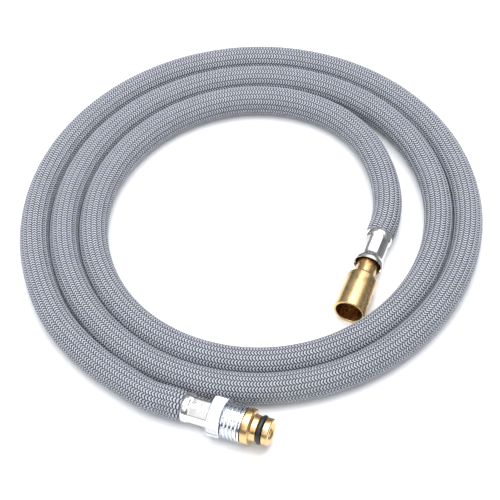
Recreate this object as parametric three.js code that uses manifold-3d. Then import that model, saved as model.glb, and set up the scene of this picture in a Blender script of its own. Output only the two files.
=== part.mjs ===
// Pull-out spray hose: a nylon-braided hose lying in a flat open coil, with a swivelling
// threaded nut on a sealed brass stem at one end and a brass socket at the other.
// Millimetres, +Z up, origin on the surface under the middle of the coil's box.
import * as THREE from 'three';
import { mergeVertices } from 'three/addons/utils/BufferGeometryUtils.js';
import Module from 'manifold-3d';

const wasm = await Module();
wasm.setup();

// ---- driving dimensions -------------------------------------------------------------

// hose
const hose_diameter = 12.3;
const sleeve_wall = 1.45;
const liner_clearance = 0.4; // between the sleeve's bore and the liner
const liner_wall = 0.9;
const sleeve_sides = 12;
const liner_sides = 8;
const seat_gap = 0.3; // between pieces that rest on each other

// the coil, about its own centre
const coil_centre = [3.08, 7.73];
const outer_turn_radius = 97.4; // centreline, at the first bearing
const lay_gap = 0.05; // between neighbouring turns
const oval_amount = 1.45;
const oval_bearing = 58;
const first_bearing = 260; // where the turn count starts, degrees from +X
const coil_starts_after = 60; // degrees of turn
const coil_ends_after = 885;
const coil_step = 15;

// where each fitting takes the hose: [x, y] from the coil's centre, and its heading
const spray_end_place = [-29.3, -95.1];
const spray_end_heading = -21.5;
const spray_end_tilt = 3; // nose up
const socket_end_place = [50.0, -10.4];
const socket_end_heading = -109.8;

// the hose between the fittings and the coil, by hand: [x, y, rise above lying flat]
const spray_lead = [
  [-51.9, -83.6, 0.35],
  [-67.0, -71.2, 0.05],
  [-80.6, -54.6, 0],
];
const socket_lead = [
  [13.6, 65.7, 0],
  [31.4, 57.9, 0],
  [44.9, 44.2, 0],
  [52.1, 27.0, 0.1],
  [54.3, 9.8, 0.35],
];
const spray_straight = 14; // straight hose behind each fitting
const socket_straight = 8;

// ferrules, stations along the fitting's axis from the end of the hose
const ferrule_wall = 0.55;
const ferrule_sides = 8;
const bead_length = 2.9;
const spray_ferrule_length = 14;
const spray_crimp_clearance = 0.4; // between the crimp and the liner
const spray_bead_lip = 0.1; // what the bead stands proud of the nut's bore, to stop the nut
const socket_ferrule_length = 16.5;
const socket_crimp_clearance = 0.3;
const socket_bead_rise = 0.55;
const socket_flare_start = 12.6;
const socket_flare_rise = 1.2;
const socket_flare_rim = 0.8;

// barbed tails inside the liner
const tail_start = 1.2;
const tail_wall = 0.6;
const barb_clearance = 0.29; // between a barb and the liner's flats
const barb_height = 0.25;
const barb_pitch = 2.4;
const barb_slope = 0.8; // part of the pitch that climbs
const barb_count = 4;
const tail_end_land = 0.6;

// swivel nut
const nut_rear = 11.4; // station of the collar's rear face with the nut forward
const nut_clearance = 0.17; // between the nut's bore and the crimp's corners
const nut_wall = 0.8; // under the thread
const collar_length = 5.7;
const collar_step = 0.55; // what the collar stands proud of the thread
const knurl_count = 60;
const knurl_depth = 0.3;
const thread_pitch = 1.55;
const thread_depth = 0.85;
const thread_turns = 4;
const thread_runout = 0.5; // plain end of the thread, in pitches
const thread_land = 0.24; // width of the root and of the crest, in pitches
const flat_depth = 0.65; // what the two wrench flats take off the thread
const flats_roll = 36; // degrees that the first flat leans from the top towards the front
const slip_ring_thickness = 0.8;
const slip_ring_inset = 0.1; // inside the thread's crest

// brass stem
const shank_clearance = 0.55; // between the nut's bore and the shank
const stem_bore = 5.4;
const stem_collar_length = 3.0;
const stem_collar_inset = 0.3; // inside the thread's crest
const waist_length = 2.6;
const waist_wall = 2.6;
const groove_wall = 1.0;
const o_ring_section = 1.9;
const tip_length = 2.6;
const tip_inset = 0.45; // inside the O-ring
const edge_round = 0.6;

// brass socket
const neck_clearance = 0.2; // between the neck and the crimp's bore
const neck_bore = 5.4;
const shoulder_start = 22.6;
const shoulder_length = 3.4;
const shoulder_steps = 4;
const cup_diameter = 13.3;
const cup_wall = 1.15;
const cup_base = 0.6; // from the shoulder's end to the cup's floor
const cup_depth = 15;

const round_segments = 36;
const seal_segments = 24;
const seal_section_sides = 8;
const cut_margin = 1; // what a cutting solid runs past the piece that it cuts

// ---- materials ----------------------------------------------------------------------

const finish = (color, roughness, metalness) =>
  new THREE.MeshStandardMaterial({ color, roughness, metalness });
const braided_nylon = finish(0x8f939b, 0.75, 0);
const liner_rubber = finish(0xd8d8d2, 0.6, 0);
const seal_rubber = finish(0x161616, 0.5, 0);
const chrome = finish(0xdfe1e4, 0.12, 1);
const turned_brass = finish(0xd2a75a, 0.25, 1);

// ---- helpers ------------------------------------------------------------------------

const radians = THREE.MathUtils.degToRad;

function toManifold(geometry) {
  const bare = geometry.clone();
  bare.deleteAttribute('normal');
  bare.deleteAttribute('uv');
  const merged = mergeVertices(bare, 1e-3);
  return new wasm.Manifold(new wasm.Mesh({
    numProp: 3,
    vertProperties: new Float32Array(merged.attributes.position.array),
    triVerts: new Uint32Array(merged.index.array),
  }));
}

function fromManifold(solid) {
  const mesh = solid.getMesh();
  const geometry = new THREE.BufferGeometry();
  geometry.setAttribute('position', new THREE.BufferAttribute(mesh.vertProperties, 3));
  geometry.setIndex(new THREE.BufferAttribute(mesh.triVerts, 1));
  return geometry;
}

// A solid turned about +X from [station, radius] points, listed forward along the outside
// and back along the bore.
function turned(outline, segments = round_segments) {
  const points = outline.map(([station, radius]) => new THREE.Vector2(radius, station));
  const reaches_axis = outline.at(-1)[1] === 0;
  if (reaches_axis) points.unshift(points.pop());
  else points.push(points[0].clone());
  const geometry = new THREE.LatheGeometry(points, segments);
  geometry.rotateZ(-Math.PI / 2);
  return geometry;
}

function regularPolygon(sides, radius) {
  const points = [];
  for (let i = 0; i < sides; i += 1) {
    const angle = ((i + 0.5) / sides) * 2 * Math.PI;
    points.push(new THREE.Vector2(radius * Math.cos(angle), radius * Math.sin(angle)));
  }
  return points;
}

// A straight prism along +X between two stations.
function prism(points, from, to) {
  const geometry = new THREE.ExtrudeGeometry(new THREE.Shape(points), {
    depth: to - from, bevelEnabled: false,
  });
  geometry.rotateY(Math.PI / 2);
  geometry.translate(from, 0, 0);
  return geometry;
}

function named(name, geometry, material) {
  const mesh = new THREE.Mesh(geometry, material);
  mesh.name = name;
  return mesh;
}

// ---- the hose's route ---------------------------------------------------------------

const hose_radius = hose_diameter / 2;
const turn_spacing = hose_diameter + lay_gap;
const liner_radius = hose_radius - sleeve_wall - liner_clearance;
const liner_bore_radius = liner_radius - liner_wall;

// The nut passes over the crimp and the shank; what it carries outside follows its bore.
const cornerRadius = (across) => across / 2 / Math.cos(Math.PI / ferrule_sides);
const spray_crimp_across = 2 * (liner_radius + spray_crimp_clearance + ferrule_wall);
const nut_bore_radius = cornerRadius(spray_crimp_across) + nut_clearance;
const thread_radius = nut_bore_radius + nut_wall + thread_depth;
const collar_radius = thread_radius + collar_step;

function heading(bearing, tilt = 0) {
  const level = Math.cos(radians(tilt));
  return new THREE.Vector3(
    level * Math.cos(radians(bearing)),
    level * Math.sin(radians(bearing)),
    Math.sin(radians(tilt)),
  );
}

const at = ([x, y], z) => new THREE.Vector3(coil_centre[0] + x, coil_centre[1] + y, z);

const spray_direction = heading(spray_end_heading, spray_end_tilt);
const socket_direction = heading(socket_end_heading);

// The knurled collar's rear edge stands on the surface, and so does the widest part of the
// socket's end: its cup or the flare of its ferrule.
const spray_end_height = collar_radius * Math.cos(radians(spray_end_tilt))
  - nut_rear * Math.sin(radians(spray_end_tilt));
const spray_face = at(spray_end_place, spray_end_height);
const socket_crimp_bore = liner_radius + socket_crimp_clearance;
const socket_flare_radius = socket_crimp_bore + ferrule_wall + socket_flare_rise;
const socket_end_height = Math.max(cup_diameter / 2, socket_flare_radius);
const socket_face = at(socket_end_place, socket_end_height);

function coilPoint(turned_degrees) {
  const bearing = first_bearing - turned_degrees;
  const radius = outer_turn_radius - (turn_spacing * turned_degrees) / 360
    + oval_amount * Math.cos(radians(2 * (bearing - oval_bearing)));
  const x = radius * Math.cos(radians(bearing));
  const y = radius * Math.sin(radians(bearing));
  return at([x, y], hose_radius);
}

const leadPoint = ([x, y, rise]) => at([x, y], hose_radius + rise);
const behind = (face, direction, distance) => face.clone().addScaledVector(direction, -distance);

// Spray end first, from inside its ferrule, round the coil and into the socket's ferrule.
function routePoints(reach_into_spray, reach_into_socket) {
  const points = [
    behind(spray_face, spray_direction, -reach_into_spray),
    behind(spray_face, spray_direction, spray_straight / 2),
    behind(spray_face, spray_direction, spray_straight),
    ...spray_lead.map(leadPoint),
  ];
  for (let turn = coil_starts_after; turn <= coil_ends_after; turn += coil_step) {
    points.push(coilPoint(turn));
  }
  points.push(
    ...socket_lead.map(leadPoint),
    behind(socket_face, socket_direction, socket_straight),
    behind(socket_face, socket_direction, -reach_into_socket),
  );
  return points;
}

// Sections stand at the route's own points, so neighbouring turns run side by side.
class Route extends THREE.CatmullRomCurve3 {
  getPointAt(u, target) {
    return this.getPoint(u, target);
  }

  getTangentAt(u, target) {
    return this.getTangent(u, target);
  }
}

function hoseLayer(points, sides, outer_radius, bore_radius) {
  const section = new THREE.Shape(regularPolygon(sides, outer_radius));
  section.holes.push(new THREE.Path(regularPolygon(sides, bore_radius).reverse()));
  return new THREE.ExtrudeGeometry(section, {
    steps: points.length - 1,
    extrudePath: new Route(points, false, 'centripetal'),
    bevelEnabled: false,
  });
}

function braidedSleeve() {
  const points = routePoints(-seat_gap, -seat_gap);
  return hoseLayer(points, sleeve_sides, hose_radius, hose_radius - sleeve_wall);
}

function innerLiner() {
  const points = routePoints(tail_reach, tail_reach);
  return hoseLayer(points, liner_sides, liner_radius, liner_bore_radius);
}

// ---- ferrules -----------------------------------------------------------------------

// An octagonal crimp: the turned body is cut back to flats between two stations.
function crimped(body, across, from, to) {
  const blank_radius = across;
  const flats = regularPolygon(ferrule_sides, cornerRadius(across));
  const blank = toManifold(prism(regularPolygon(round_segments, blank_radius), from, to));
  const keep = toManifold(prism(flats, from - cut_margin, to + cut_margin));
  return fromManifold(toManifold(body).subtract(blank.subtract(keep)));
}

function sprayFerrule() {
  const corner = cornerRadius(spray_crimp_across);
  const bore = spray_crimp_across / 2 - ferrule_wall;
  const bead = nut_bore_radius + spray_bead_lip;
  const body = turned([
    [0, bead - edge_round / 2],
    [edge_round / 2, bead],
    [bead_length, bead],
    [bead_length + edge_round, corner],
    [spray_ferrule_length, corner],
    [spray_ferrule_length, bore],
    [0, bore],
  ]);
  const crimp_end = spray_ferrule_length + cut_margin;
  return crimped(body, spray_crimp_across, bead_length + edge_round, crimp_end);
}

function socketFerrule() {
  const bore = socket_crimp_bore;
  const crimp = bore + ferrule_wall;
  const corner = cornerRadius(2 * crimp);
  const bead = crimp + socket_bead_rise;
  const flare = socket_flare_radius;
  const flare_end = socket_ferrule_length;
  const body = turned([
    [0, bead - edge_round],
    [edge_round, bead],
    [bead_length, bead],
    [bead_length + edge_round, corner],
    [socket_flare_start, corner],
    [flare_end - socket_flare_rim, flare],
    [flare_end, flare],
    [flare_end, flare - ferrule_wall],
    [flare_end - socket_flare_rim, flare - 2 * ferrule_wall],
    [socket_flare_start, bore],
    [0, bore],
  ]);
  return crimped(body, 2 * crimp, bead_length + edge_round, socket_flare_start);
}

// ---- brass stem, its O-ring and the swivel nut ----------------------------------------

const tail_reach = tail_start + barb_pitch * barb_count + tail_end_land;
const barb_radius = liner_bore_radius * Math.cos(Math.PI / liner_sides) - barb_clearance;
const tail_radius = barb_radius - barb_height;
const tail_bore_radius = tail_radius - tail_wall;

// Outer outline of a barbed tail, from its free end to where the shank takes over.
function barbOutline() {
  const outline = [];
  for (let i = 0; i < barb_count; i += 1) {
    const station = tail_start + i * barb_pitch;
    outline.push([station, tail_radius]);
    outline.push([station + barb_pitch * barb_slope, barb_radius]);
  }
  return outline;
}

const nut_front = nut_rear + collar_length + thread_pitch * (thread_turns + thread_runout);
const slip_ring_rear = nut_front + seat_gap;
const stem_collar_rear = slip_ring_rear + slip_ring_thickness + seat_gap;
const stem_collar_front = stem_collar_rear + stem_collar_length;
const groove_rear = stem_collar_front + waist_length;
const groove_front = groove_rear + o_ring_section + 2 * seat_gap;
const stem_front = groove_front + tip_length;
const shank_radius = nut_bore_radius - shank_clearance;
const o_ring_radius = stem_bore / 2 + groove_wall + seat_gap + o_ring_section;

function brassStem() {
  const shank_start = spray_ferrule_length + seat_gap;
  const groove_radius = stem_bore / 2 + groove_wall;
  const waist = stem_bore / 2 + waist_wall;
  const collar = thread_radius - stem_collar_inset;
  const tip = o_ring_radius - tip_inset;
  return turned([
    [tail_start, tail_bore_radius],
    ...barbOutline(),
    [tail_reach + seat_gap, tail_radius],
    [shank_start, tail_radius],
    [shank_start, shank_radius],
    [stem_collar_rear, shank_radius],
    [stem_collar_rear, collar - edge_round / 2],
    [stem_collar_rear + edge_round / 2, collar],
    [stem_collar_front - 2 * edge_round, collar],
    [stem_collar_front - edge_round / 2, collar - edge_round / 2],
    [stem_collar_front, collar - 2 * edge_round],
    [stem_collar_front + edge_round, waist],
    [groove_rear, waist],
    [groove_rear, groove_radius],
    [groove_front, groove_radius],
    [groove_front, tip - edge_round / 2],
    [groove_front + edge_round / 2, tip],
    [stem_front - edge_round, tip],
    [stem_front, tip - edge_round],
    [stem_front, stem_bore / 2 + edge_round],
    [stem_front - edge_round, stem_bore / 2],
    [shank_start, stem_bore / 2],
    [shank_start - (stem_bore / 2 - tail_bore_radius), tail_bore_radius],
  ]);
}

function noseSeal() {
  const section = o_ring_section / 2;
  const ring = new THREE.TorusGeometry(
    o_ring_radius - section, section, seal_section_sides, seal_segments,
  );
  ring.rotateY(Math.PI / 2);
  ring.translate(groove_rear + seat_gap + section, 0, 0);
  return ring;
}

function slipRing() {
  const bore = shank_radius + seat_gap;
  const rim = thread_radius - slip_ring_inset;
  const front = slip_ring_rear + slip_ring_thickness;
  return turned([
    [slip_ring_rear, rim],
    [front, rim],
    [front, bore],
    [slip_ring_rear, bore],
  ]);
}

// Star outline of the straight knurl.
function knurlOutline() {
  const points = [];
  for (let i = 0; i < 2 * knurl_count; i += 1) {
    const radius = collar_radius - (i % 2) * knurl_depth;
    const angle = (i / (2 * knurl_count)) * 2 * Math.PI;
    points.push(new THREE.Vector2(radius * Math.cos(angle), radius * Math.sin(angle)));
  }
  return points;
}

function threadOutline() {
  const root = thread_radius - thread_depth;
  const start = nut_rear + collar_length + thread_pitch / 2;
  const half_land = (thread_pitch * thread_land) / 2;
  const outline = [];
  for (let i = 0; i < thread_turns; i += 1) {
    const valley = start + i * thread_pitch;
    const ridge = valley + thread_pitch / 2;
    outline.push([valley - half_land, root], [valley + half_land, root]);
    outline.push([ridge - half_land, thread_radius], [ridge + half_land, thread_radius]);
  }
  return outline;
}

function swivelNut() {
  const collar_front = nut_rear + collar_length;
  const root = thread_radius - thread_depth;
  const collar = toManifold(prism(knurlOutline(), nut_rear, collar_front));
  const chamfer = toManifold(turned([
    [nut_rear, collar_radius - edge_round / 2],
    [nut_rear + edge_round / 2, collar_radius],
    [collar_front - edge_round / 2, collar_radius],
    [collar_front, collar_radius - edge_round / 2],
    [collar_front, 0],
    [nut_rear, 0],
  ]));
  const sleeve = toManifold(turned([
    [nut_rear + edge_round, root],
    ...threadOutline(),
    [nut_front, root],
    [nut_front, 0],
    [nut_rear + edge_round, 0],
  ]));
  const hole = toManifold(turned([
    [nut_rear - cut_margin, nut_bore_radius],
    [nut_front + cut_margin, nut_bore_radius],
    [nut_front + cut_margin, 0],
    [nut_rear - cut_margin, 0],
  ]));
  let nut = collar.intersect(chamfer).add(sleeve).subtract(hole);
  for (const side of [0, 180]) {
    const length = nut_front - collar_front + cut_margin;
    const size = 2 * thread_radius;
    const flat = new THREE.BoxGeometry(length, size, size);
    flat.translate(collar_front + length / 2, 0, thread_radius - flat_depth + size / 2);
    flat.rotateX(radians(flats_roll + side));
    nut = nut.subtract(toManifold(flat));
  }
  return fromManifold(nut);
}

// ---- brass socket ---------------------------------------------------------------------

function brassSocket() {
  const neck = socket_crimp_bore - neck_clearance;
  const cup = cup_diameter / 2;
  const cup_bore = cup - cup_wall;
  const shoulder_end = shoulder_start + shoulder_length;
  const cup_floor = shoulder_end + cup_base;
  const cup_mouth = cup_floor + cup_depth;
  const neck_start = socket_flare_start + seat_gap;
  const shoulder = [];
  for (let i = 1; i <= shoulder_steps; i += 1) {
    const angle = (i / shoulder_steps) * (Math.PI / 2);
    shoulder.push([
      shoulder_start + shoulder_length * (1 - Math.cos(angle)),
      neck + (cup - neck) * Math.sin(angle),
    ]);
  }
  return turned([
    [tail_start, tail_bore_radius],
    ...barbOutline(),
    [tail_reach + seat_gap, tail_radius],
    [neck_start, tail_radius],
    [neck_start, neck],
    [shoulder_start, neck],
    ...shoulder,
    [shoulder_end + edge_round, cup],
    [cup_mouth - edge_round / 2, cup],
    [cup_mouth, cup - edge_round / 2],
    [cup_mouth, cup_bore + edge_round / 2],
    [cup_mouth - edge_round / 2, cup_bore],
    [cup_floor, cup_bore],
    [cup_floor - (cup_bore - neck_bore / 2) / 2, neck_bore / 2],
    [neck_start, neck_bore / 2],
    [neck_start - (neck_bore / 2 - tail_bore_radius), tail_bore_radius],
  ]);
}

// ---- assembly -------------------------------------------------------------------------

function fittingGroup(face, bearing, tilt, meshes) {
  const group = new THREE.Group();
  group.rotation.set(0, radians(-tilt), radians(bearing), 'ZYX');
  group.position.copy(face);
  group.add(...meshes);
  return group;
}

const hose = new THREE.Group();
hose.add(
  named('braided_sleeve', braidedSleeve(), braided_nylon),
  named('inner_liner', innerLiner(), liner_rubber),
  fittingGroup(spray_face, spray_end_heading, spray_end_tilt, [
    named('spray_end_ferrule', sprayFerrule(), chrome),
    named('spray_end_stem', brassStem(), turned_brass),
    named('nose_o_ring', noseSeal(), seal_rubber),
    named('slip_ring', slipRing(), chrome),
    named('swivel_nut', swivelNut(), chrome),
  ]),
  fittingGroup(socket_face, socket_end_heading, 0, [
    named('socket_end_ferrule', socketFerrule(), chrome),
    named('brass_socket', brassSocket(), turned_brass),
  ]),
);

export default hose;
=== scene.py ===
"""Looks of a braided pull-out spray hose: braid, crimped ferrules, swivel nut and brass ends.

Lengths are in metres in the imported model's frame; stations run along a fitting's own axis,
from the end of the hose.
"""

import math

import bpy
import numpy as np
from bpy.props import FloatProperty, FloatVectorProperty, IntProperty, PointerProperty
from mathutils import Matrix, Vector


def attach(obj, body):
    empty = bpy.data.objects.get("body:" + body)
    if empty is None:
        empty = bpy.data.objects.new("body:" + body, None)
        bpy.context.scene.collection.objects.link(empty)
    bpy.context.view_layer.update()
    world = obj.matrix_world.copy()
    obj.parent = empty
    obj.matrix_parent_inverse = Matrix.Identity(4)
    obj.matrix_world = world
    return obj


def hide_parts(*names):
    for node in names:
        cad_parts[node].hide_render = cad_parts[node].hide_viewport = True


bl_info = {
    "name": "Braided spray hose",
    "version": (1, 0, 0),
    "blender": (4, 5, 0),
    "location": "View3D > Sidebar > Spray hose",
    "description": "Builds a coiled braided hose with its end fittings around the packed parts",
    "category": "Add Mesh",
}

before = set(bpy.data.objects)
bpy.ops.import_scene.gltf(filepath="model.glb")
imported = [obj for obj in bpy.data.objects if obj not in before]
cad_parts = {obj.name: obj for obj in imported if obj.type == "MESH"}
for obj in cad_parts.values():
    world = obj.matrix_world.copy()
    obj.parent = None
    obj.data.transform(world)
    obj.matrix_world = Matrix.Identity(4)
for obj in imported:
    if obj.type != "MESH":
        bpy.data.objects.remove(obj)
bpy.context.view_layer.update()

TURN = 2 * math.pi

# ---- the hose's route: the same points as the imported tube, spray end first ----------------

HOSE_RADIUS = 0.00615
COIL_CENTRE = (0.00308, 0.00773)
OUTER_TURN_RADIUS = 0.0974
TURN_SPACING = 0.01235
OVAL_AMOUNT = 0.00145
OVAL_BEARING = 58
FIRST_BEARING = 260
COIL_STARTS_AFTER = 60
COIL_ENDS_AFTER = 885
COIL_STEP = 15

SPRAY_END_PLACE = (-0.0293, -0.0951)
SPRAY_END_HEADING = -21.5
SPRAY_END_TILT = 3
SPRAY_END_HEIGHT = 0.007445
SOCKET_END_PLACE = (0.0500, -0.0104)
SOCKET_END_HEADING = -109.8
SOCKET_END_HEIGHT = 0.00665
SPRAY_LEAD = (
    (-0.0519, -0.0836, 0.00035),
    (-0.0670, -0.0712, 0.00005),
    (-0.0806, -0.0546, 0),
)
SOCKET_LEAD = (
    (0.0136, 0.0657, 0),
    (0.0314, 0.0579, 0),
    (0.0449, 0.0442, 0),
    (0.0521, 0.0270, 0.0001),
    (0.0543, 0.0098, 0.00035),
)
SPRAY_STRAIGHT = 0.014
SOCKET_STRAIGHT = 0.008
SEAT_GAP = 0.0003  # between pieces that rest on each other
TAIL_REACH = 0.0114  # how far the liner runs onto the barbed tails
LINER_CLEARANCE = 0.0004
LINER_WALL = 0.0009

# ---- the fittings: stations and radii that several pieces share ------------------------------

BEAD_LENGTH = 0.0029
FERRULE_WALL = 0.00055
NUT_FRONT = 0.024075
FLATS_ROLL = 36  # degrees that the first flat leans from the top towards the front
SLIP_RING_REAR = NUT_FRONT + SEAT_GAP
SLIP_RING_THICKNESS = 0.0008
TAIL_START = 0.0012
TAIL_RADIUS = 0.0026
TAIL_BORE_RADIUS = 0.0020
SHOULDER_DROP = 0.0007  # how far a bore funnels into a tail's narrower one

# ---- finishes: sRGB hex, turned to linear by one function -----------------------------------


def linear(code):
    """A linear RGBA colour from an sRGB hex code."""
    shares = [int(code[i : i + 2], 16) / 255 for i in (1, 3, 5)]
    lit = [c / 12.92 if c <= 0.04045 else ((c + 0.055) / 1.055) ** 2.4 for c in shares]
    return (*lit, 1.0)


def length(name, about, default):
    return FloatProperty(name=name, description=about, default=default, unit="LENGTH", precision=5)


def colour(name, about, code):
    return FloatVectorProperty(
        name=name, description=about, default=linear(code)[:3], subtype="COLOR", min=0, max=1
    )


class BraidSettings(bpy.types.PropertyGroup):
    chevrons: IntProperty(
        name="Rows of chevrons",
        description="Rows of chevrons round the hose, an even number; each is four columns wide",
        default=16,
        min=4,
    )
    float_pitch: length("Float pitch", "Distance between floats along the hose", 0.00124)
    lean: length("Lean", "How far a float leans along the hose over its own length", 0.00074)
    relief: length("Relief", "From a float's crest down to the gap beside it", 0.00036)
    wall: length("Wall", "Thickness of the braided sleeve", 0.00145)
    crest_colour: colour("Crest", "Nylon yarn on top of the braid", "#CDD1DD")
    # Painted shade: a near-black colour for the gaps where the floats part and dive under each other.
    painted_gap_shade: colour("Gap", "Shaded yarn between the floats", "#07080B")


class FerruleSettings(bpy.types.PropertyGroup):
    spray_across: length("Spray crimp", "Across the flats of the spray end's crimp", 0.0105)
    spray_bead: length("Spray bead", "Diameter of the spray end's bead", 0.0119)
    spray_length: length("Spray length", "Length of the spray end's ferrule", 0.0140)
    socket_across: length("Socket crimp", "Across the flats of the socket end's crimp", 0.0103)
    socket_bead: length("Socket bead", "Diameter of the socket end's bead", 0.0114)
    socket_length: length("Socket length", "Length of the socket end's ferrule", 0.0165)
    flare: length("Flare", "Diameter of the socket end's flared mouth", 0.0127)
    plate_colour: colour("Plate", "Bright plating of the ferrules", "#EDEBE8")


class NutSettings(bpy.types.PropertyGroup):
    rear: length("Rear", "Station of the collar's rear face", 0.0114)
    collar_length: length("Collar length", "Length of the knurled collar", 0.0057)
    collar: length("Collar", "Diameter of the knurled collar", 0.0161)
    teeth: IntProperty(name="Teeth", description="Teeth of the straight knurl", default=60, min=12)
    thread: length("Thread", "Diameter over the thread's crests", 0.0150)
    pitch: length("Pitch", "Pitch of the thread", 0.00155)
    depth: length("Depth", "Depth of the thread", 0.00085)
    bore: length("Bore", "Bore that passes over the ferrule", 0.0117)
    across: length("Flats", "Across the two wrench flats", 0.0137)
    chrome_colour: colour("Chrome", "Chrome plate of the nut", "#E4E7EC")


class BrassSettings(bpy.types.PropertyGroup):
    nose_bore: length("Nose bore", "Waterway through the spray end's stem", 0.0054)
    cup: length("Cup", "Outside diameter of the socket's cup", 0.0133)
    cup_wall: length("Cup wall", "Wall of the socket's cup", 0.00115)
    brass_colour: colour("Brass", "Freshly turned brass", "#E6C48E")
    stain_colour: colour("Stain", "Brass browned by handling and water", "#8F6638")
    seal_colour: colour("Seal", "Black rubber of the O-ring", "#121213")


class StageSettings(bpy.types.PropertyGroup):
    floor_colour: colour("Floor", "Plain pale floor", "#F6F7F8")


# ---- shared builders ------------------------------------------------------------------------


def add(tree, kind, inputs=(), **settings):
    """Adds a node with its settings; an input is a socket to link or a value to set."""
    node = tree.nodes.new(kind)
    for name, value in settings.items():
        setattr(node, name, value)
    pairs = inputs.items() if isinstance(inputs, dict) else enumerate(inputs)
    for key, value in pairs:
        if isinstance(value, bpy.types.NodeSocket):
            tree.links.new(value, node.inputs[key])
        elif value is not None:
            node.inputs[key].default_value = value
    return node


def finish_named(name):
    """A new node material and its emptied tree."""
    made = bpy.data.materials.new(name)
    made.use_nodes = True
    made.node_tree.nodes.clear()
    return made, made.node_tree


def mottled(tree, body, scale, detail):
    """Noise over the piece's own coordinates, in blotches per metre."""
    inputs = {"Vector": body, "Scale": scale, "Detail": detail}
    return add(tree, "ShaderNodeTexNoise", inputs).outputs[0]


def surfaced(tree, **inputs):
    """Ends a material's tree with one Principled surface."""
    named = {key.replace("_", " "): value for key, value in inputs.items()}
    shader = add(tree, "ShaderNodeBsdfPrincipled", named)
    add(tree, "ShaderNodeOutputMaterial", {"Surface": shader.outputs[0]})


def shown(name, points, faces, material, body, slot, *nodes, place=None):
    """A mesh object that rides on a body, takes a finish and stands for CAD nodes."""
    mesh = bpy.data.meshes.new(name)
    mesh.from_pydata(np.asarray(points).tolist(), [], faces)
    mesh.materials.append(material)
    mesh.shade_smooth()
    piece = bpy.data.objects.new(name, mesh)
    bpy.context.scene.collection.objects.link(piece)
    if place is not None:
        piece.matrix_world = place
    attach(piece, body)
    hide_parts(*nodes)
    return piece


EDGE_SOFTENING = 0.00012  # how far a plain edge's curve reaches from its corner


def rounded(outline, steps=4, side_share=0.45):
    """A closed outline of (station, radius, softening) with each corner turned into a curve."""
    points = [Vector(p[:2]) for p in outline]
    smooth = []
    for i, corner in enumerate(points):
        before, after = points[i - 1] - corner, points[(i + 1) % len(points)] - corner
        softening = outline[i][2] if len(outline[i]) > 2 else EDGE_SOFTENING
        reach = min(softening, side_share * before.length, side_share * after.length)
        start, end = corner + before.normalized() * reach, corner + after.normalized() * reach
        for k in range(steps + 1):
            t = k / steps
            smooth.append((1 - t) ** 2 * start + 2 * t * (1 - t) * corner + t * t * end)
    return [(p.x, p.y) for p in smooth]


def around(segments):
    """Angles round a fitting's axis, from the top towards its right-hand side."""
    return np.arange(segments) / segments * TURN


def ring_body(rings, segments):
    """Points and faces of a closed body through (station, radii) rings.

    The rings run forward along the outside and back along the bore.
    """
    turn = around(segments)
    points = []
    for station, radii in rings:
        radii = np.broadcast_to(radii, segments)
        stations = np.full(segments, station)
        points.append(np.stack([stations, -radii * np.sin(turn), radii * np.cos(turn)], 1))
    faces = []
    for k in range(len(rings)):
        here, there = k * segments, (k + 1) % len(rings) * segments
        for i in range(segments):
            j = (i + 1) % segments
            faces.append((here + i, here + j, there + j, there + i))
    return np.concatenate(points), faces


# ---- the hose -------------------------------------------------------------------------------


def direction(bearing, tilt=0):
    level = math.cos(math.radians(tilt))
    return Vector((
        level * math.cos(math.radians(bearing)),
        level * math.sin(math.radians(bearing)),
        math.sin(math.radians(tilt)),
    ))


def on_coil(x, y, height):
    return Vector((COIL_CENTRE[0] + x, COIL_CENTRE[1] + y, height))


SPRAY_FACE = on_coil(*SPRAY_END_PLACE, SPRAY_END_HEIGHT)
SPRAY_AXIS = direction(SPRAY_END_HEADING, SPRAY_END_TILT)
SOCKET_FACE = on_coil(*SOCKET_END_PLACE, SOCKET_END_HEIGHT)
SOCKET_AXIS = direction(SOCKET_END_HEADING)


def fitting_place(face, bearing, tilt=0):
    """Where a fitting's own frame lies: +X along its axis, +Z up."""
    turned = Matrix.Rotation(math.radians(bearing), 4, "Z")
    tilted = Matrix.Rotation(math.radians(-tilt), 4, "Y")
    return Matrix.Translation(face) @ turned @ tilted


def coil_point(turned_degrees):
    bearing = FIRST_BEARING - turned_degrees
    radius = OUTER_TURN_RADIUS - TURN_SPACING * turned_degrees / 360
    radius += OVAL_AMOUNT * math.cos(math.radians(2 * (bearing - OVAL_BEARING)))
    angle = math.radians(bearing)
    return on_coil(radius * math.cos(angle), radius * math.sin(angle), HOSE_RADIUS)


def route_points(reach):
    """The hose's points from ferrule to ferrule; reach is how far it runs into each."""
    points = [
        SPRAY_FACE + SPRAY_AXIS * reach,
        SPRAY_FACE - SPRAY_AXIS * SPRAY_STRAIGHT / 2,
        SPRAY_FACE - SPRAY_AXIS * SPRAY_STRAIGHT,
    ]
    points += [on_coil(x, y, HOSE_RADIUS + rise) for x, y, rise in SPRAY_LEAD]
    for turned in range(COIL_STARTS_AFTER, COIL_ENDS_AFTER + 1, COIL_STEP):
        points.append(coil_point(turned))
    points += [on_coil(x, y, HOSE_RADIUS + rise) for x, y, rise in SOCKET_LEAD]
    points += [SOCKET_FACE - SOCKET_AXIS * SOCKET_STRAIGHT, SOCKET_FACE + SOCKET_AXIS * reach]
    return np.array(points)


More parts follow.
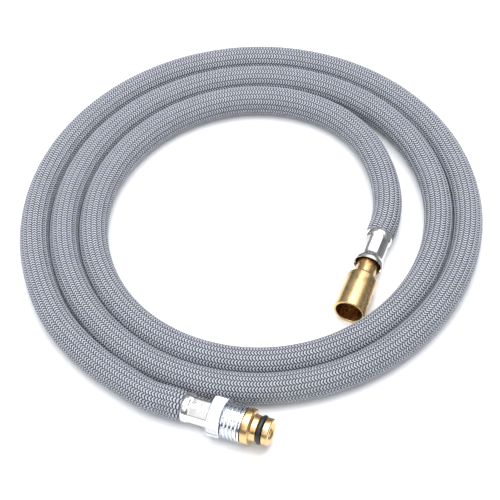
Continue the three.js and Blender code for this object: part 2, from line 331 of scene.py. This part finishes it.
def smooth_route(points, steps=24):
    """A centripetal Catmull-Rom curve through the points, finely stepped."""
    padded = np.vstack([2 * points[0] - points[1], points, 2 * points[-1] - points[-2]])
    share = np.linspace(0, 1, steps, endpoint=False)[:, None]
    curve = []
    for p0, p1, p2, p3 in zip(padded, padded[1:], padded[2:], padded[3:]):
        gaps = [math.sqrt(np.linalg.norm(b - a)) for a, b in ((p0, p1), (p1, p2), (p2, p3))]
        leave = (p1 - p0) / gaps[0] - (p2 - p0) / (gaps[0] + gaps[1]) + (p2 - p1) / gaps[1]
        arrive = (p2 - p1) / gaps[1] - (p3 - p1) / (gaps[1] + gaps[2]) + (p3 - p2) / gaps[2]
        leave, arrive = leave * gaps[1], arrive * gaps[1]
        square, cube = share**2, share**3
        curve.append(
            p1 + leave * share
            + (3 * (p2 - p1) - 2 * leave - arrive) * square
            + (leave + arrive - 2 * (p2 - p1)) * cube
        )
    return np.vstack([*curve, points[-1]])


def even_steps(curve, count):
    """Points, side and up directions at equal distances along a curve, and its length."""
    run = np.concatenate([[0], np.cumsum(np.linalg.norm(np.diff(curve, axis=0), axis=1))])
    stations = np.linspace(0, run[-1], count)
    points = np.stack([np.interp(stations, run, curve[:, k]) for k in range(3)], 1)
    along = np.gradient(points, axis=0)
    along /= np.linalg.norm(along, axis=1)[:, None]
    side = np.cross((0, 0, 1), along)
    side /= np.linalg.norm(side, axis=1)[:, None]
    up = np.cross(along, side)
    return points, side, up, run[-1]


BRAID_ROLL = math.radians(5.75)  # from the top to the braid's first column
NECK_SHARE = 0.055  # how much narrower the ferrule's grip makes the sleeve's end
NECK_LENGTH = 0.0012
STRAIGHT_ROWS = 6  # rows over which the floats' lean fades out at an end
BORE_ROW_STEP = 16  # rows of the braid to a row of the plain bore


def tube_ring(points, side, up, radii, turn):
    """Rings of points round each point of a path, from the top round its left-hand side."""
    sine, cosine = np.sin(turn)[None, :, None], np.cos(turn)[None, :, None]
    spread = side[:, None] * sine + up[:, None] * cosine
    return points[:, None] + spread * radii[:, :, None]


def quads(rows, columns, first=0):
    """Faces of a tube grid, wound outwards."""
    low = first + np.arange((rows - 1) * columns).reshape(rows - 1, columns)
    after = np.roll(low, -1, axis=1)
    return np.stack([low, low + columns, after + columns, after], -1).reshape(-1, 4)


def braided_tube(settings):
    """Points, faces and map corners of the sleeve; every other row of points is a crest."""
    curve = smooth_route(route_points(-SEAT_GAP))
    _, _, _, run = even_steps(curve, 2)
    columns = 4 * settings.chevrons
    rows = 1 + 2 * round(run / settings.float_pitch)
    path, side, up, run = even_steps(curve, rows)
    row, column = np.arange(rows), np.arange(columns)
    turn = around(columns) + BRAID_ROLL
    from_end = np.minimum(row, row[::-1])

    # Columns run: open edge, middle of a float, point of the chevron, middle of a float.
    crest = (row[:, None] + column // 4) % 2 == 0
    crest_fall, gap_fall = np.array([0.6, 0.0, 0.22, 0.0]), np.array([0.6, 1.0, 0.9, 1.0])
    fall = np.where(crest, crest_fall[column % 4], gap_fall[column % 4])
    necked = 1 - NECK_SHARE * np.exp(-((from_end * run / (rows - 1) / NECK_LENGTH) ** 2))
    radii = necked[:, None] * (HOSE_RADIUS - settings.relief * fall)
    outside = np.empty((rows, columns, 3))
    for quarter, share in enumerate((0.0, 0.5, 1.0, 0.5)):
        rows_leant = share * settings.lean / (settings.float_pitch / 2)
        shift = rows_leant * np.minimum(1, from_end / STRAIGHT_ROWS)
        leaning = [
            np.stack([np.interp(row + shift, row, line[:, k]) for k in range(3)], 1)
            for line in (path, side, up)
        ]
        own = slice(quarter, None, 4)
        outside[:, own] = tube_ring(*leaning, radii[:, own], turn[own])
    faces = quads(rows, columns).tolist()

    # Map corners: a row of chevrons sits half a pitch on from the row beside it.
    low, first = np.mgrid[0 : rows - 1, 0:columns].reshape(2, -1)
    cells = np.array(
        [[low, first], [low + 1, first], [low + 1, first + 1], [low, first + 1]], float
    ).transpose(2, 0, 1)

    # The bore is a plainer tube, joined to the outside by a ring at each end.
    sparse = np.unique(np.append(np.arange(0, rows, BORE_ROW_STEP), rows - 1))
    bore_columns = columns // 4
    bore_radii = np.full((len(sparse), bore_columns), HOSE_RADIUS - settings.wall)
    bore = tube_ring(path[sparse], side[sparse], up[sparse], bore_radii, turn[::4])
    first = rows * columns
    faces += quads(len(sparse), bore_columns, first)[:, ::-1].tolist()
    for ring, flip in ((0, True), (rows - 1, False)):
        low = first + (0 if ring == 0 else len(sparse) - 1) * bore_columns
        for c in range(bore_columns):
            rim = [ring * columns + (4 * c + k) % columns for k in range(5)]
            face = [*reversed(rim), low + c, low + (c + 1) % bore_columns]
            faces.append(tuple(reversed(face)) if flip else tuple(face))
    points = np.concatenate([outside.reshape(-1, 3), bore.reshape(-1, 3)])
    return points, faces, cells, path, rows, columns, run


def map_braid(mesh, cells, rows, columns, strips=6, margin=0.01):
    """Two maps: rows and columns of the braid for its pattern, and one packed sheet for baking."""
    strip_rows = -(-(rows - 1) // strips)
    strip = np.minimum(cells[:, :, 0].min(1) // strip_rows, strips - 1)
    packed = np.empty_like(cells)
    packed[:, :, 0] = (cells[:, :, 0] - strip[:, None] * strip_rows) / strip_rows
    across = margin + (1 - 2 * margin) * cells[:, :, 1] / columns
    packed[:, :, 1] = (strip[:, None] + across) / strips
    weave = cells.copy()
    weave[:, :, 0] += cells[:, :, 1].min(1)[:, None] // 4 % 2
    for name, values in (("weave", weave), ("OFBake", packed)):
        layer = mesh.uv_layers.new(name=name)
        flat = np.zeros(len(mesh.loops) * 2)
        flat[: values.size] = values.reshape(-1)
        layer.data.foreach_set("uv", flat)


def braided_nylon(settings):
    """Woven multifilament nylon: satin floats, alternately leaning, with painted shade in the narrow gaps
    between them.
    """
    made, tree = finish_named("nylon yarn, braided two over two")
    place = add(tree, "ShaderNodeUVMap", uv_map="weave")
    split = add(tree, "ShaderNodeSeparateXYZ", [place.outputs[0]])
    row, column = split.outputs[0], split.outputs[1]
    math_node = "ShaderNodeMath"

    # Across a float it is round; at the open edge and the point of a chevron it dives.
    angle = add(tree, math_node, [row, math.pi], operation="MULTIPLY").outputs[0]
    across = add(tree, math_node, [angle], operation="COSINE").outputs[0]
    quarter = add(tree, math_node, [column, math.pi / 2], operation="MULTIPLY").outputs[0]
    wave = add(tree, math_node, [quarter], operation="COSINE").outputs[0]
    edge = add(tree, math_node, [wave, 0.0], operation="MAXIMUM").outputs[0]
    open_edge = add(tree, math_node, [edge, 3.0], operation="POWER").outputs[0]
    turned = add(tree, math_node, [wave, -1.0], operation="MULTIPLY").outputs[0]
    tip = add(tree, math_node, [turned, 0.0], operation="MAXIMUM").outputs[0]
    point = add(tree, math_node, [tip, 6.0], operation="POWER").outputs[0]
    dived = add(tree, math_node, [open_edge, -0.9, across], operation="MULTIPLY_ADD").outputs[0]
    height = add(tree, math_node, [point, -0.35, dived], operation="MULTIPLY_ADD").outputs[0]
    # Four bundles of filament to a yarn; the real filaments are too fine to show.
    fine = add(tree, math_node, [row, 4 * math.pi], operation="MULTIPLY").outputs[0]
    strand = add(tree, math_node, [fine], operation="COSINE").outputs[0]
    relief = add(tree, math_node, [strand, 0.18, height], operation="MULTIPLY_ADD").outputs[0]

    # Each float took the dye a little differently, and handling left faint cloudy marks.
    halved = add(tree, math_node, [row, 0.5, 0.5], operation="MULTIPLY_ADD").outputs[0]
    along = add(tree, math_node, [halved], operation="FLOOR").outputs[0]
    paired = add(tree, math_node, [column, 0.5], operation="MULTIPLY").outputs[0]
    band = add(tree, math_node, [paired], operation="FLOOR").outputs[0]
    yarn = add(tree, math_node, [band, 1931.0, along], operation="MULTIPLY_ADD").outputs[0]
    dye = add(tree, "ShaderNodeTexWhiteNoise", {"W": yarn}, noise_dimensions="1D").outputs[0]
    body = add(tree, "ShaderNodeTexCoord").outputs["Object"]
    cloud = mottled(tree, body, 90.0, 3.0)
    uneven = add(tree, math_node, [dye, 0.10, 0.90], operation="MULTIPLY_ADD").outputs[0]
    clouded = add(tree, math_node, [cloud, 0.12, -0.06], operation="MULTIPLY_ADD").outputs[0]
    value = add(tree, math_node, [uneven, clouded], operation="ADD").outputs[0]
    # The ramp paints shade from the relief's height: near black in the gaps and where the floats dive,
    # the yarn's own colour on the crests.
    depth = add(tree, "ShaderNodeMapRange", [height, -0.95, 1.0, 0.0, 1.0]).outputs[0]
    ramp = add(tree, "ShaderNodeValToRGB", [depth])
    ramp.color_ramp.elements[0].color = (*settings.painted_gap_shade, 1)
    ramp.color_ramp.elements[1].color = (*settings.crest_colour, 1)
    ramp.color_ramp.elements[1].position = 0.8
    tone = {"Value": value, "Color": ramp.outputs[0]}
    dyed_and_shaded = add(tree, "ShaderNodeHueSaturation", tone).outputs[0]
    bump = add(tree, "ShaderNodeBump", {"Height": relief, "Distance": 0.00018}).outputs[0]
    surfaced(tree, Base_Color=dyed_and_shaded, Roughness=0.36, IOR=1.53, Normal=bump)
    return made


def liner_rubber():
    """Extruded hose lining: smooth, milky and a little uneven from the die."""
    made, tree = finish_named("hose lining, extruded")
    body = add(tree, "ShaderNodeTexCoord").outputs["Object"]
    streak = mottled(tree, body, 400.0, 2.0)
    ramp = add(tree, "ShaderNodeValToRGB", [streak])
    ramp.color_ramp.elements[0].color = linear("#C9C9C2")
    ramp.color_ramp.elements[1].color = linear("#E2E2DC")
    bump = add(tree, "ShaderNodeBump", {"Height": streak, "Distance": 0.00002}).outputs[0]
    surfaced(tree, Base_Color=ramp.outputs[0], Roughness=0.5, Normal=bump)
    return made


def smooth_tube(reach, outer, bore, columns, rows):
    """Points and faces of a closed plain tube along the route."""
    path, side, up, _ = even_steps(smooth_route(route_points(reach)), rows)
    rings = [
        tube_ring(path, side, up, np.full((rows, columns), radius), around(columns)).reshape(-1, 3)
        for radius in (outer, bore)
    ]
    first = rows * columns
    faces = quads(rows, columns).tolist() + quads(rows, columns, first)[:, ::-1].tolist()
    for end in (0, (rows - 1) * columns):
        for c in range(columns):
            n = (c + 1) % columns
            face = (end + c, end + n, first + end + n, first + end + c)
            faces.append(face if end == 0 else tuple(reversed(face)))
    return np.concatenate(rings), faces


# ---- ferrules ---------------------------------------------------------------------------------


def bright_plate(settings):
    """Nickel plate over a drawn tube: mirror-bright, with faint draw lines along the axis."""
    made, tree = finish_named("nickel plate, drawn and crimped")
    body = add(tree, "ShaderNodeTexCoord").outputs["Object"]
    drawn = add(tree, "ShaderNodeMapping", {"Vector": body, "Scale": (60.0, 2600.0, 2600.0)})
    lines = add(tree, "ShaderNodeTexNoise", {"Vector": drawn.outputs[0], "Detail": 2.0}).outputs[0]
    smudge = mottled(tree, body, 320.0, 3.0)
    rough = add(tree, "ShaderNodeMapRange", [smudge, 0.35, 0.75, 0.10, 0.24]).outputs[0]
    bump = add(tree, "ShaderNodeBump", {"Height": lines, "Distance": 0.000002}).outputs[0]
    tone = (*settings.plate_colour, 1)
    surfaced(tree, Base_Color=tone, Metallic=1.0, Roughness=rough, Normal=bump)
    return made


def crimped_radii(across, segments, sides=8, corner_share=1.045):
    """Radius round an eight-sided crimp whose corners the jaws left narrow and flat."""
    lean = (around(segments) + math.pi / sides) % (TURN / sides) - math.pi / sides
    return np.minimum(across / 2 / np.cos(lean), across / 2 * corner_share)


def eased(share):
    """A share from 0 to 1 with a soft start and a soft end."""
    return share * share * (3 - 2 * share)


BEAD_ROUND = 0.0007  # how far the bead's rear edge is rounded in


def bead_radii(station, bead, crimp):
    """A rolled bead: rises quickly at the hose, then falls in a soft step to the crimp."""
    rise = np.clip(station / (0.32 * BEAD_LENGTH), 0, 1)
    round_in = np.sqrt(1 - (1 - rise) ** 2)
    step = eased(np.clip((station - 0.72 * BEAD_LENGTH) / (0.5 * BEAD_LENGTH), 0, 1))
    crown = bead - BEAD_ROUND * (1 - round_in)
    return crown * (1 - step) + crimp * step


def bead_rings(bead, crimp, bore):
    """The ferrule's rear face and its bead, up to the crimp."""
    rings = [(0, bore), (0, bead - BEAD_ROUND)]
    for station in np.linspace(0, 1.25 * BEAD_LENGTH, 22)[1:]:
        rings.append((station, bead_radii(station, bead, crimp)))
    return rings


def spray_ferrule(settings, segments=192):
    crimp = crimped_radii(settings.spray_across, segments)
    bore = settings.spray_across / 2 - FERRULE_WALL
    rings = bead_rings(settings.spray_bead / 2, crimp, bore)
    for station in np.linspace(1.3 * BEAD_LENGTH, settings.spray_length - 0.0002, 8):
        rings.append((station, crimp))
    rings.append((settings.spray_length, crimp - 0.00015))
    rings.append((settings.spray_length, bore))
    return ring_body(rings, segments)


def socket_ferrule(settings, segments=192):
    crimp = crimped_radii(settings.socket_across, segments)
    bore = settings.socket_across / 2 - FERRULE_WALL
    flare_start, flare_rim = 0.0122, 0.0008
    end, flare = settings.socket_length, settings.flare / 2
    rings = bead_rings(settings.socket_bead / 2, crimp, bore)
    for station in np.linspace(1.3 * BEAD_LENGTH, flare_start, 6):
        rings.append((station, crimp))
    spread = end - flare_rim - flare_start
    for share in np.linspace(0, 1, 14)[1:]:
        opened = eased(share)
        rings.append((flare_start + share * spread, crimp * (1 - opened) + flare * opened))
    rings += [(end - 0.0002, flare), (end, flare - 0.00018), (end, flare - FERRULE_WALL + 0.0001)]
    rings.append((end - 0.0002, flare - FERRULE_WALL))
    for share in np.linspace(1, 0, 12):
        opened = eased(share)
        mouth = (flare - 1.6 * FERRULE_WALL) * opened + bore * (1 - opened)
        rings.append((flare_start + share * spread, mouth))
    return ring_body(rings, segments)


# ---- swivel nut and slip ring -------------------------------------------------------------------


def nut_chrome(settings):
    """Polished chrome plate: near-mirror, with handling haze."""
    made, tree = finish_named("chrome plate, polished")
    body = add(tree, "ShaderNodeTexCoord").outputs["Object"]
    haze = mottled(tree, body, 500.0, 4.0)
    rough = add(tree, "ShaderNodeMapRange", [haze, 0.3, 0.8, 0.06, 0.18]).outputs[0]
    bump = add(tree, "ShaderNodeBump", {"Height": haze, "Distance": 0.000003}).outputs[0]
    tone = (*settings.chrome_colour, 1)
    surfaced(tree, Base_Color=tone, Metallic=1.0, Roughness=rough, Normal=bump)
    return made


def thread_radii(station, start, settings, turn):
    """Radius round a single-start thread with narrow rounded crests and roots."""
    share = ((station - start) / settings.pitch - turn / TURN) % 1
    slope = np.clip(0.5 + 1.15 * np.cos(TURN * share) / 1.6, 0, 1)
    return settings.thread / 2 - settings.depth * (1 - eased(slope))


KNURL_DEPTH = 0.00032
COLLAR_BEVEL = 0.0005
BORE_BEVEL = 0.0002


def swivel_nut(settings, segments=480):
    turn = around(segments)
    rear, front = settings.rear, settings.rear + settings.collar_length
    crest, bore = settings.collar / 2, settings.bore / 2
    tooth = np.abs(np.sin(settings.teeth * turn / 2))
    knurl = crest - KNURL_DEPTH * (1 - tooth)
    rings = [(rear, bore + BORE_BEVEL), (rear, crest - 0.0007), (rear + 0.0001, crest - 0.00055)]
    for station in np.linspace(rear + 0.0001, front, 26)[1:]:
        edge = min(station - rear, front - station)
        cone = crest - COLLAR_BEVEL * (1 - min(edge / COLLAR_BEVEL, 1))
        rings.append((station, np.minimum(knurl, cone)))
    root = settings.thread / 2 - settings.depth
    relief = root - 0.00005
    rings.append((front, relief))
    lean = turn - math.radians(FLATS_ROLL)
    flat = settings.across / 2 / np.maximum(np.abs(np.cos(lean)), 0.5)
    for station in np.linspace(front + 0.0003, NUT_FRONT - 0.0001, 66):
        radii = thread_radii(station, front, settings, turn)
        lead_in = np.clip((station - front) / 0.0005, 0, 1)
        radii = relief + (radii - root) * lead_in
        nose = settings.thread / 2 - np.maximum(0, station - (NUT_FRONT - 0.0006))
        rings.append((station, np.minimum(np.minimum(radii, nose), flat)))
    rings.append((NUT_FRONT, np.minimum(settings.thread / 2 - 0.0008, flat - 0.0001)))
    rings += [(NUT_FRONT, bore + BORE_BEVEL), (NUT_FRONT - BORE_BEVEL, bore)]
    rings.append((rear + BORE_BEVEL, bore))
    return ring_body(rings, segments)


def slip_ring(rim=0.0074, bore=0.0056, segments=144):
    rear, front = SLIP_RING_REAR, SLIP_RING_REAR + SLIP_RING_THICKNESS
    outline = rounded([(rear, rim), (front, rim), (front, bore), (rear, bore)])
    return ring_body(outline, segments)


# ---- brass --------------------------------------------------------------------------------------


def turned_brass(settings):
    """Bar brass off the lathe: fine tool rings, warm lustre, and brown stains from handling."""
    made, tree = finish_named("brass, turned")
    body = add(tree, "ShaderNodeTexCoord").outputs["Object"]
    split = add(tree, "ShaderNodeSeparateXYZ", [body])
    # The tool's feed is near 0.1 mm; its rings are drawn 0.35 mm apart so that they show.
    ring_pitch = 0.00035
    feed = add(tree, "ShaderNodeMath", [split.outputs[0], TURN / ring_pitch], operation="MULTIPLY")
    rings = add(tree, "ShaderNodeMath", [feed.outputs[0]], operation="SINE").outputs[0]
    wander = mottled(tree, body, 260.0, 4.0)
    patch = mottled(tree, body, 120.0, 5.0)
    stained = add(tree, "ShaderNodeMapRange", [patch, 0.56, 0.74, 0.0, 0.75]).outputs[0]
    clean, stain = (*settings.brass_colour, 1), (*settings.stain_colour, 1)
    blend = {"Factor": stained, "A": clean, "B": stain}
    mixed = add(tree, "ShaderNodeMix", blend, data_type="RGBA")
    rough = add(tree, "ShaderNodeMapRange", [wander, 0.3, 0.75, 0.17, 0.33]).outputs[0]
    bump = add(tree, "ShaderNodeBump", {"Height": rings, "Distance": 0.000006}).outputs[0]
    surfaced(tree, Base_Color=mixed.outputs[2], Metallic=1.0, Roughness=rough, Normal=bump)
    return made


def tail_outline(pitch=0.0024, count=4, barb=0.00285, climb=0.8, softening=0.0001):
    """A barbed tail's free end, and its barbs up to where the liner ends."""
    outline = [(TAIL_START, TAIL_BORE_RADIUS)]
    for i in range(count):
        foot, top = TAIL_START + i * pitch, TAIL_START + (i + climb) * pitch
        outline += [(foot, TAIL_RADIUS, softening), (top, barb, softening)]
    outline.append((TAIL_REACH + SEAT_GAP, TAIL_RADIUS))
    return outline


def brass_stem(settings, segments=144):
    bore, shank, collar, groove, tip = settings.nose_bore / 2, 0.0053, 0.0072, 0.0037, 0.00545
    shank_start = 0.0140 + SEAT_GAP
    collar_rear = SLIP_RING_REAR + SLIP_RING_THICKNESS + SEAT_GAP
    collar_front, groove_rear = collar_rear + 0.0030, collar_rear + 0.0056
    groove_front, front = groove_rear + 0.0025, groove_rear + 0.0051
    countersink = 0.0010
    outline = [
        *tail_outline(),
        (shank_start, TAIL_RADIUS),
        (shank_start, shank),
        (collar_rear, shank),
        (collar_rear, collar, 0.0003),
        (collar_front, collar, 0.0013),
        (collar_front + 0.0002, shank, 0.0006),
        (groove_rear, shank, 0.00015),
        (groove_rear, groove),
        (groove_front, groove),
        (groove_front, tip, 0.0002),
        (front, tip, 0.0011),
        (front, bore + countersink, 0.0005),
        (front - countersink, bore, 0.0004),
        (shank_start, bore),
        (shank_start - SHOULDER_DROP, TAIL_BORE_RADIUS),
    ]
    return ring_body(rounded(outline, 6), segments)


def brass_socket(settings, segments=160):
    cup = settings.cup / 2
    cup_bore = cup - settings.cup_wall
    neck, neck_bore, neck_start, shoulder, mouth = 0.0044, 0.0027, 0.0129, 0.0226, 0.0416
    cup_depth, floor_slope = 0.0150, 0.0014
    floor = mouth - cup_depth
    outline = [
        *tail_outline(),
        (neck_start, TAIL_RADIUS),
        (neck_start, neck),
        (shoulder, neck, 0.0007),
        (shoulder + 0.0008, cup - 0.0002, 0.0021),
        (mouth, cup, 0.00035),
        (mouth, cup_bore + 0.0001, 0.0003),
        (floor, cup_bore),
        (floor - floor_slope, neck_bore),
        (neck_start, neck_bore),
        (neck_start - SHOULDER_DROP, TAIL_BORE_RADIUS),
    ]
    return ring_body(rounded(outline, 6), segments)


def seal_rubber(settings):
    """Moulded nitrile rubber: black, satin, with a trace of grease and dust."""
    made, tree = finish_named("nitrile rubber, moulded")
    body = add(tree, "ShaderNodeTexCoord").outputs["Object"]
    dust = mottled(tree, body, 700.0, 4.0)
    blend = {"Factor": dust, "A": (*settings.seal_colour, 1), "B": linear("#2C2C2E")}
    mixed = add(tree, "ShaderNodeMix", blend, data_type="RGBA")
    rough = add(tree, "ShaderNodeMapRange", [dust, 0.3, 0.7, 0.28, 0.46]).outputs[0]
    bump = add(tree, "ShaderNodeBump", {"Height": dust, "Distance": 0.00002}).outputs[0]
    surfaced(tree, Base_Color=mixed.outputs[2], Roughness=rough, IOR=1.52, Normal=bump)
    return made


def nose_seal(section=0.00095, reach=0.00495, station=0.032325, segments=144):
    """A round section, swept round the nose at its reach from the axis."""
    rings = []
    for angle in np.linspace(0, TURN, 28, endpoint=False):
        rings.append((station - section * math.cos(angle), reach + section * math.sin(angle)))
    return ring_body(rings, segments)


# ---- operators --------------------------------------------------------------------------------


CAMERA_PLACE = (-0.000878, -0.45988, 0.58261)
CAMERA_PITCH = 52  # degrees below the horizon
CAMERA_LENS = 126.9  # millimetres, on a full-frame sensor
CAMERA_SENSOR = 36
FLOOR_REACH = 3.0

# Softboxes: place, width and height, power in watts.
SOFTBOXES = (
    ("overhead", (-0.05, 0.05, 1.25), (1.50, 1.10), 21.0),
    ("front", (-0.10, -0.95, 0.85), (1.50, 0.80), 3.8),
    ("right_back", (0.62, 0.62, 0.90), (1.00, 0.50), 1.8),
    ("left", (-1.05, 0.10, 0.50), (0.60, 0.60), 1.4),
)


class SPRAYHOSE_OT_stage(bpy.types.Operator):
    """Adds the camera, the pale floor and soft studio light"""

    bl_idname = "sprayhose.stage"
    bl_label = "Stage"

    def execute(self, context):
        scene = context.scene
        camera = bpy.data.objects.new("camera", bpy.data.cameras.new("camera"))
        camera.data.sensor_width = CAMERA_SENSOR
        camera.data.lens = CAMERA_LENS
        camera.data.clip_end = 20
        camera.location = CAMERA_PLACE
        camera.rotation_euler = (math.radians(90 - CAMERA_PITCH), 0, 0)
        scene.collection.objects.link(camera)
        scene.camera = camera

        made, tree = finish_named("floor, white acrylic sheet")
        surfaced(tree, Base_Color=(*scene.sprayhose_stage.floor_colour, 1), Roughness=0.35)
        mesh = bpy.data.meshes.new("floor")
        corners = [(x * FLOOR_REACH, y * FLOOR_REACH, 0) for x, y in ((-1, -1), (1, -1), (1, 1), (-1, 1))]
        mesh.from_pydata(corners, [], [(0, 1, 2, 3)])
        mesh.materials.append(made)
        floor = bpy.data.objects.new("floor", mesh)
        scene.collection.objects.link(floor)

        for name, place, size, power in SOFTBOXES:
            light = bpy.data.lights.new(name, "AREA")
            light.shape, light.size, light.size_y, light.energy = "RECTANGLE", *size, power
            lamp = bpy.data.objects.new(name, light)
            lamp.location = place
            lamp.rotation_euler = (-Vector(place)).to_track_quat("-Z", "Y").to_euler()
            scene.collection.objects.link(lamp)
        world = bpy.data.worlds.new("studio")
        world.use_nodes = True
        sky = world.node_tree
        sky.nodes.clear()
        # The studio's walls are dim near the floor and brighter towards the ceiling.
        aim = add(sky, "ShaderNodeTexCoord").outputs["Generated"]
        rise = add(sky, "ShaderNodeSeparateXYZ", [aim]).outputs[2]
        level = add(sky, "ShaderNodeMapRange", [rise, 0.05, 0.85, 0.14, 0.75]).outputs[0]
        glow = add(sky, "ShaderNodeBackground", [linear("#E9EDF2"), level]).outputs[0]
        add(sky, "ShaderNodeOutputWorld", [glow])
        scene.world = world
        # The braid is so fine that smoothing the denoiser's guides would blur it away.
        scene.cycles.denoising_prefilter = "NONE"
        scene.view_settings.view_transform = "Standard"
        return {"FINISHED"}


class SPRAYHOSE_OT_hose(bpy.types.Operator):
    """Builds the braided sleeve and the lining inside it"""

    bl_idname = "sprayhose.hose"
    bl_label = "Hose"

    def execute(self, context):
        settings = context.scene.sprayhose_braid
        points, faces, cells, path, rows, columns, run = braided_tube(settings)
        sleeve = shown(
            "hose_braid", points, faces, braided_nylon(settings), "hose_line", "braided_nylon",
            "braided_sleeve",
        )
        map_braid(sleeve.data, cells, rows, columns)
        outer = HOSE_RADIUS - settings.wall - LINER_CLEARANCE
        points, faces = smooth_tube(TAIL_REACH, outer, outer - LINER_WALL, 24, 700)
        liner = shown(
            "hose_lining", points, faces, liner_rubber(), "hose_line", "liner_rubber",
            "inner_liner",
        )
        return {"FINISHED"}


class SPRAYHOSE_OT_ferrules(bpy.types.Operator):
    """Builds the two crimped ferrules"""

    bl_idname = "sprayhose.ferrules"
    bl_label = "Ferrules"

    def execute(self, context):
        settings = context.scene.sprayhose_ferrules
        plate = bright_plate(settings)
        spray = fitting_place(SPRAY_FACE, SPRAY_END_HEADING, SPRAY_END_TILT)
        socket = fitting_place(SOCKET_FACE, SOCKET_END_HEADING)
        for name, body, place, node in (
            ("spray_ferrule", spray_ferrule(settings), spray, "spray_end_ferrule"),
            ("socket_ferrule", socket_ferrule(settings), socket, "socket_end_ferrule"),
        ):
            piece = shown(name, *body, plate, "hose_line", "ferrule_plate", node, place=place)
            piece.data.set_sharp_from_angle(angle=math.radians(24))
        return {"FINISHED"}


class SPRAYHOSE_OT_nut(bpy.types.Operator):
    """Builds the knurled and threaded swivel nut and its slip ring"""

    bl_idname = "sprayhose.nut"
    bl_label = "Swivel nut"

    def execute(self, context):
        settings = context.scene.sprayhose_nut
        chrome = nut_chrome(settings)
        place = fitting_place(SPRAY_FACE, SPRAY_END_HEADING, SPRAY_END_TILT)
        for name, body, rides_on in (
            ("threaded_nut", swivel_nut(settings), "swivel_nut"),
            ("thrust_ring", slip_ring(), "slip_ring"),
        ):
            piece = shown(name, *body, chrome, rides_on, "nut_chrome", rides_on, place=place)
            piece.data.set_sharp_from_angle(angle=math.radians(32))
        return {"FINISHED"}


class SPRAYHOSE_OT_brass(bpy.types.Operator):
    """Builds the brass stem with its O-ring, and the brass socket"""

    bl_idname = "sprayhose.brass"
    bl_label = "Brass ends"

    def execute(self, context):
        settings = context.scene.sprayhose_brass
        brass = turned_brass(settings)
        rubber = seal_rubber(settings)
        spray = fitting_place(SPRAY_FACE, SPRAY_END_HEADING, SPRAY_END_TILT)
        socket = fitting_place(SOCKET_FACE, SOCKET_END_HEADING)
        for name, body, material, slot, node, place in (
            ("nose_stem", brass_stem(settings), brass, "turned_brass", "spray_end_stem", spray),
            ("nose_seal", nose_seal(), rubber, "seal_rubber", "nose_o_ring", spray),
            ("socket_cup", brass_socket(settings), brass, "turned_brass", "brass_socket", socket),
        ):
            piece = shown(name, *body, material, "hose_line", slot, node, place=place)
            piece.data.set_sharp_from_angle(angle=math.radians(40))
        return {"FINISHED"}


class SPRAYHOSE_PT_panel(bpy.types.Panel):
    """Lists the hose's pieces"""

    bl_idname = "SPRAYHOSE_PT_panel"
    bl_label = "Spray hose"
    bl_space_type = "VIEW_3D"
    bl_region_type = "UI"
    bl_category = "Spray hose"

    def draw(self, context):
        for operator in OPERATORS:
            self.layout.operator(operator.bl_idname)


GROUPS = {
    "sprayhose_braid": BraidSettings,
    "sprayhose_ferrules": FerruleSettings,
    "sprayhose_nut": NutSettings,
    "sprayhose_brass": BrassSettings,
    "sprayhose_stage": StageSettings,
}
OPERATORS = (
    SPRAYHOSE_OT_stage,
    SPRAYHOSE_OT_ferrules,
    SPRAYHOSE_OT_nut,
    SPRAYHOSE_OT_brass,
    SPRAYHOSE_OT_hose,
)


def register():
    for cls in (*GROUPS.values(), *OPERATORS, SPRAYHOSE_PT_panel):
        bpy.utils.register_class(cls)
    for name, group in GROUPS.items():
        setattr(bpy.types.Scene, name, PointerProperty(type=group))


def unregister():
    for name in GROUPS:
        delattr(bpy.types.Scene, name)
    for cls in reversed((*GROUPS.values(), *OPERATORS, SPRAYHOSE_PT_panel)):
        bpy.utils.unregister_class(cls)


def main():
    register()
    bpy.ops.sprayhose.stage()
    bpy.ops.sprayhose.ferrules()
    bpy.ops.sprayhose.nut()
    bpy.ops.sprayhose.brass()
    bpy.ops.sprayhose.hose()


if __name__ == "__main__":
    main()
